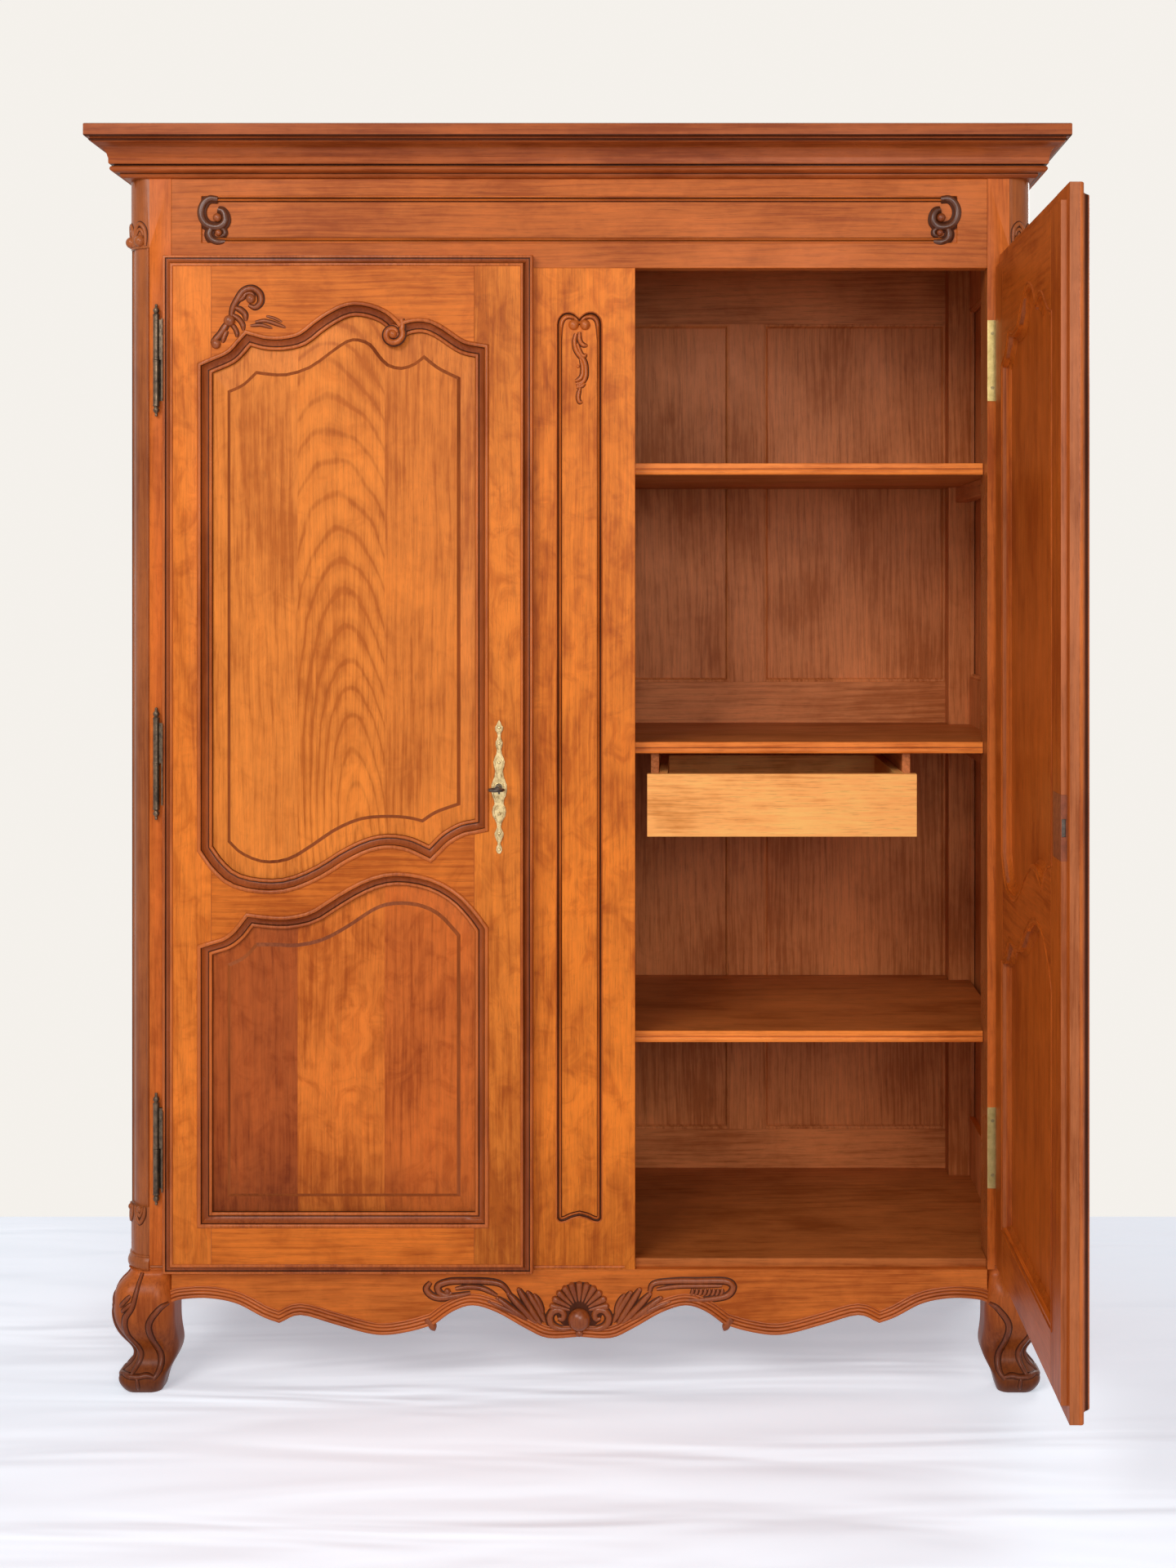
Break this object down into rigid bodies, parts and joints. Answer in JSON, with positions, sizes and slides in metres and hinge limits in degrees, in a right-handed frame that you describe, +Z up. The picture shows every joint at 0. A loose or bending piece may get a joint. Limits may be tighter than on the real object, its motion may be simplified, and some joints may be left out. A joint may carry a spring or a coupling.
{
  "type": "two-door armoire",
  "caption": "Tall provincial armoire with a moulded cornice, scalloped panelled doors on a fixed centre post, shelves and a small hung drawer.",
  "frame": {"origin": "on the floor, under the middle of the case's footprint", "axes": "+Z up, +X to the right as one faces the doors, +Y to the back"},
  "size_m": [1.61, 1.1985, 2.087],
  "materials": {
    "case_wood": "waxed cherry, warm orange brown, satin",
    "inside_wood": "stained inside wood, satin",
    "drawer_wood": "plain light wood, dull",
    "brass": "aged brass",
    "iron": "dark iron"
  },
  "bodies": {
    "carcass": {"back_panels": "inside_wood", "back_rails": "inside_wood", "back_stiles": "inside_wood", "centre_post": "case_wood", "cornice_back": "inside_wood", "cornice_front": "case_wood", "cornice_left": "case_wood", "cornice_right": "case_wood", "drawer_runners": "inside_wood", "floor_board": "inside_wood", "frieze_rail": "case_wood", "front_apron": "case_wood", "front_left_foot": "case_wood", "front_left_post": "case_wood", "front_right_foot": "case_wood", "front_right_post": "case_wood", "left_hinge_frame_halves": "brass", "left_side_apron": "case_wood", "left_side_panels": "case_wood", "left_side_rails": "case_wood", "lower_shelf": "inside_wood", "middle_shelf": "inside_wood", "rear_left_post": "case_wood", "rear_right_post": "case_wood", "right_hinge_frame_halves": "brass", "right_side_apron": "case_wood", "right_side_panels": "case_wood", "right_side_rails": "case_wood", "shelf_cleats": "inside_wood", "top_board": "inside_wood", "upper_shelf": "inside_wood"},
    "left_door": {"left_hinge_stile": "case_wood", "left_lock_stile": "case_wood", "left_top_rail": "case_wood", "left_middle_rail": "case_wood", "left_bottom_rail": "case_wood", "left_upper_panel": "case_wood", "left_lower_panel": "case_wood", "left_hinge_door_halves": "brass", "left_escutcheon": "brass", "left_lock_case": "iron"},
    "right_door": {"right_hinge_stile": "case_wood", "right_lock_stile": "case_wood", "right_top_rail": "case_wood", "right_middle_rail": "case_wood", "right_bottom_rail": "case_wood", "right_upper_panel": "case_wood", "right_lower_panel": "case_wood", "right_hinge_door_halves": "brass", "right_escutcheon": "brass", "right_lock_case": "iron"},
    "drawer": {"drawer_front": "drawer_wood", "drawer_sides": "drawer_wood", "drawer_back": "drawer_wood", "drawer_bottom": "drawer_wood"},
    "key": {"key": "iron"},
    "left_bolt": {"left_bolt": "iron"},
    "right_bolt": {"right_bolt": "iron"}
  },
  "joints": [
    {"name": "left_door_hinge", "type": "hinge", "parent": "carcass", "child": "left_door", "pos_m": [-0.698, -0.291, 1.04], "axis": [0, 0, -1], "range_deg": [0, 110]},
    {"name": "right_door_hinge", "type": "hinge", "parent": "carcass", "child": "right_door", "pos_m": [0.698, -0.291, 1.04], "axis": [0, 0, 1], "range_deg": [-90, 20]},
    {"name": "drawer_slide", "type": "slide", "parent": "carcass", "child": "drawer", "axis": [0, -1, 0], "range_m": [-0.03, 0.28]},
    {"name": "key_turn", "type": "hinge", "parent": "left_door", "child": "key", "pos_m": [-0.13, -0.3354, 1.004], "axis": [0, 1, 0], "range_deg": [-90, 0]},
    {"name": "left_bolt_slide", "type": "slide", "parent": "left_door", "child": "left_bolt", "axis": [1, 0, 0], "range_m": [0, 0.014]},
    {"name": "right_bolt_slide", "type": "slide", "parent": "right_door", "child": "right_bolt", "axis": [0, -1, 0], "range_m": [0, 0.014]}
  ],
  "couplings": [
    {"joint": "key_turn", "follows": "left_bolt_slide", "rad_per_m": -112.19}
  ]
}
